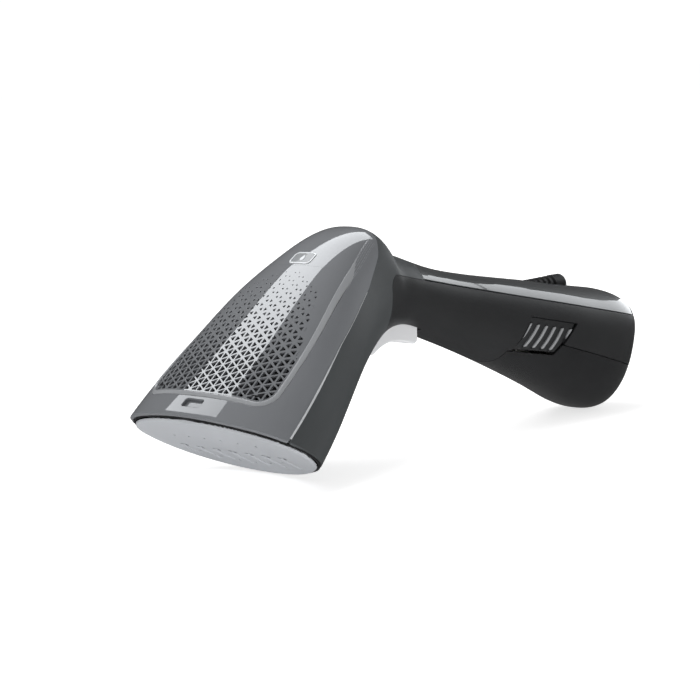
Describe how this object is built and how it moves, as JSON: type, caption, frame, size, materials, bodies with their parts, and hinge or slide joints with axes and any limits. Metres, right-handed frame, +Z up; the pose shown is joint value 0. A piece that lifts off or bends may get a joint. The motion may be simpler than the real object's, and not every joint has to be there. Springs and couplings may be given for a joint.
{
  "type": "garment steamer",
  "caption": "Handheld garment steamer: domed perforated head with an oval steam plate, angled grip handle, trigger and a slide-off water tank.",
  "frame": {"origin": "on the surface the steamer rests on, below the middle of its bounding box", "axes": "+X across the body, the mirror plane is x = 0; +Y from the steam head towards the end of the handle; +Z up"},
  "size_m": [0.1208, 0.2996, 0.1111],
  "materials": {
    "cover_grey": "high gloss",
    "black_mesh": "matt",
    "badge_silver": "satin",
    "housing_grey": "gloss",
    "grip_charcoal": "satin, fine texture",
    "button_grey": "satin",
    "spring_steel": "drawn wire",
    "screw_steel": "zinc plated",
    "sole_metal": "ceramic-coated, satin",
    "black_rubber": "matt",
    "cast_metal": "die cast",
    "element_steel": "heat darkened",
    "white_ceramic": "steatite",
    "brass": "turned",
    "white_plastic": "natural nylon",
    "coil_black": "taped winding",
    "silicone": "translucent",
    "smoked_tank": "smoked, high gloss",
    "trigger_white": "satin",
    "black_plastic": "satin",
    "board_green": "solder mask"
  },
  "bodies": {
    "housing": {"front_cover": "cover_grey", "grille_panel": "cover_grey", "grille_backing": "black_mesh", "badge": "badge_silver", "head_housing": "housing_grey", "handle_back_cover": "housing_grey", "handle_grip_right": "grip_charcoal", "handle_grip_left": "grip_charcoal", "release_spring_right": "spring_steel", "release_spring_left": "spring_steel", "pump_spring": "spring_steel", "trigger_spring": "spring_steel", "trigger_pin": "spring_steel", "generator_screws": "screw_steel", "sole_plate": "sole_metal", "sole_gasket": "black_rubber", "dock_seal": "black_rubber", "cord_guard": "black_rubber", "pump_mounts": "black_rubber", "steam_generator": "cast_metal", "chamber_cover": "cast_metal", "heating_element": "element_steel", "generator_standoffs": "white_ceramic", "thermostat": "white_ceramic", "thermal_fuse": "white_ceramic", "inlet_nozzle": "brass", "tank_dock": "white_plastic", "pump_body": "white_plastic", "cord_clamp": "white_plastic", "clamp_screws": "screw_steel", "terminal_block": "white_plastic", "pump_coil": "coil_black", "pressure_tube": "silicone", "suction_tube": "silicone", "trigger_bracket": "black_plastic", "microswitch": "black_plastic", "control_board": "board_green"},
    "trigger": {"trigger": "trigger_white"},
    "switch_button": {"switch_plunger": "white_plastic"},
    "release_right": {"release_button_right": "button_grey"},
    "release_left": {"release_button_left": "button_grey"},
    "pump_piston": {"pump_plunger": "spring_steel"},
    "tank": {"tank": "smoked_tank", "tank_valve_spring": "spring_steel"},
    "tank_valve": {"tank_valve": "white_plastic"},
    "tank_plug": {"filler_plug": "black_rubber"}
  },
  "joints": [
    {"name": "trigger_pull", "type": "hinge", "parent": "housing", "child": "trigger", "pos_m": [0, -0.03571, 0.0635], "axis": [1, 0, 0], "range_deg": [0, 7], "stiffness_Nm_per_rad": 0.25, "springref_deg": -14.32, "deforming": ["trigger_spring"]},
    {"name": "switch_press", "type": "slide", "parent": "housing", "child": "switch_button", "axis": [0, 0.023, 0.9997], "range_m": [0, 0.0016]},
    {"name": "release_right_press", "type": "slide", "parent": "housing", "child": "release_right", "axis": [-1, 0, 0], "range_m": [0, 0.0016], "stiffness_N_per_m": 700, "springref_m": -0.002, "deforming": ["release_spring_right"]},
    {"name": "release_left_press", "type": "slide", "parent": "housing", "child": "release_left", "axis": [1, 0, 0], "range_m": [0, 0.0016], "stiffness_N_per_m": 700, "springref_m": -0.002, "deforming": ["release_spring_left"]},
    {"name": "pump_stroke", "type": "slide", "parent": "housing", "child": "pump_piston", "axis": [0, 0.9597, -0.281], "range_m": [0, 0.0025], "stiffness_N_per_m": 400, "springref_m": -0.001, "deforming": ["pump_spring"]},
    {"name": "tank_slide", "type": "slide", "parent": "housing", "child": "tank", "axis": [0, 0.9493, -0.3143], "range_m": [0, 0.1]},
    {"name": "tank_valve_lift", "type": "slide", "parent": "tank", "child": "tank_valve", "axis": [0, 0.9493, -0.3143], "range_m": [0, 0.0015], "stiffness_N_per_m": 150, "springref_m": -0.002, "deforming": ["tank_valve_spring"]},
    {"name": "filler_plug_pull", "type": "slide", "parent": "tank", "child": "tank_plug", "axis": [0, 0.3143, 0.9493], "range_m": [0, 0.008]}
  ],
  "couplings": [
    {"joint": "switch_press", "follows": "trigger_pull", "m_per_rad": 0.0125}
  ]
}
